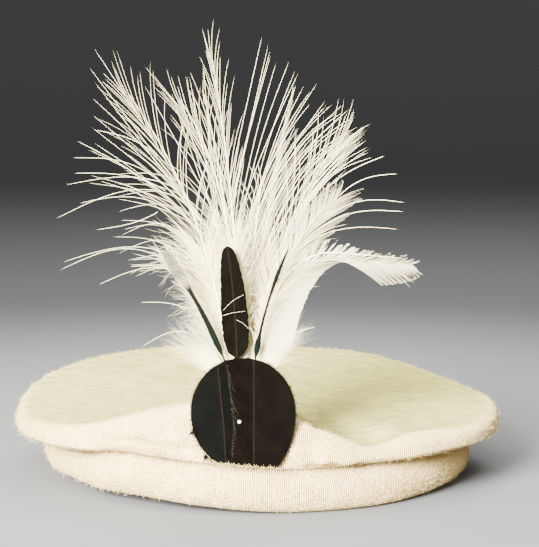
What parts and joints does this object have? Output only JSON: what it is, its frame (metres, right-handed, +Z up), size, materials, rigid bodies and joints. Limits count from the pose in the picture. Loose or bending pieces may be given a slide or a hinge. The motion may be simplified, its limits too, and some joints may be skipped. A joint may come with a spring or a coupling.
{
  "type": "gilgiti cap",
  "caption": "Flat round wool cap: a puffed disc crown on a rolled brim, with a round feather badge pinned at the front and a tall white plume behind it.",
  "frame": {"origin": "centre of the bounding box's base, on the floor plane under the rolled brim", "axes": "+X to the right as seen from the front, -Y towards the front with the badge, +Z up"},
  "size_m": [0.272, 0.255, 0.2438],
  "materials": {
    "wool": "soft brushed cream wool",
    "blue_black_feather": "trimmed feather, satin bluish black",
    "brown_black_feather": "feather, satin brownish black",
    "green_feather": "narrow feather, dark glossy green",
    "white_feather": "loose white feather barbs",
    "pin_head": "glossy white bead"
  },
  "bodies": {
    "root": {"crown": "wool", "rolled_brim": "wool", "badge_left": "blue_black_feather", "badge_right": "brown_black_feather", "pin": "pin_head", "upright_feather": "brown_black_feather", "green_feather_left": "green_feather", "green_feather_right": "green_feather", "plume_left_outer": "white_feather", "plume_left_inner": "white_feather", "plume_left_tip": "white_feather", "plume_centre": "white_feather", "plume_right_inner": "white_feather", "plume_back": "white_feather", "plume_webbed": "white_feather", "plume_right_outer": "white_feather", "plume_side": "white_feather"}
  },
  "joints": []
}
